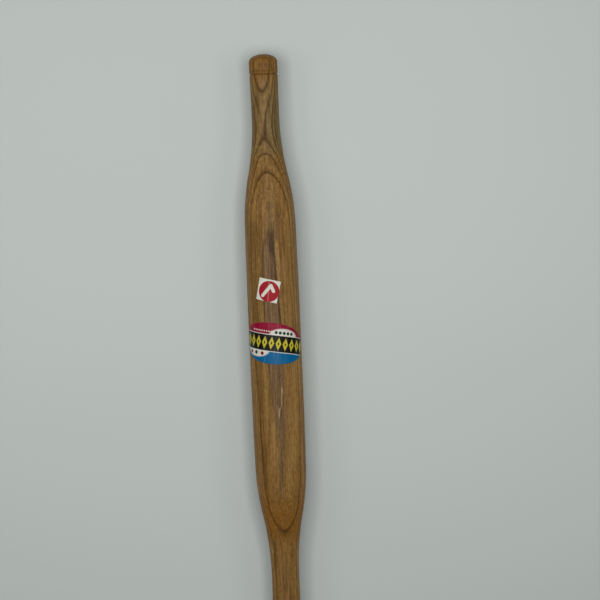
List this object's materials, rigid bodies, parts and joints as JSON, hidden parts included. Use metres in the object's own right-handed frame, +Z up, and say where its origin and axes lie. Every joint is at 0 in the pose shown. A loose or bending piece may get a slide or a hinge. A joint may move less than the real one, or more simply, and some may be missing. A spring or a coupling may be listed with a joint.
{
  "type": "rolling pin",
  "caption": "Slim one-piece turned wooden rolling pin with long tapering handles, small knob ends and two paper labels on its barrel.",
  "frame": {"origin": "the middle of the pin, on the axis that it was turned about", "axes": "+X along the pin towards the end nearer the small square label, +Z up out of the side that carries the labels"},
  "size_m": [0.355, 0.0322, 0.032],
  "materials": {
    "oiled_teak": "turned and sanded, satin oil",
    "size_label_paper": "printed self-adhesive paper, semi-gloss",
    "oval_label_paper": "printed self-adhesive paper, varnished"
  },
  "bodies": {
    "root": {"turned_pin": "oiled_teak", "size_label": "size_label_paper", "oval_label": "oval_label_paper"}
  },
  "joints": []
}
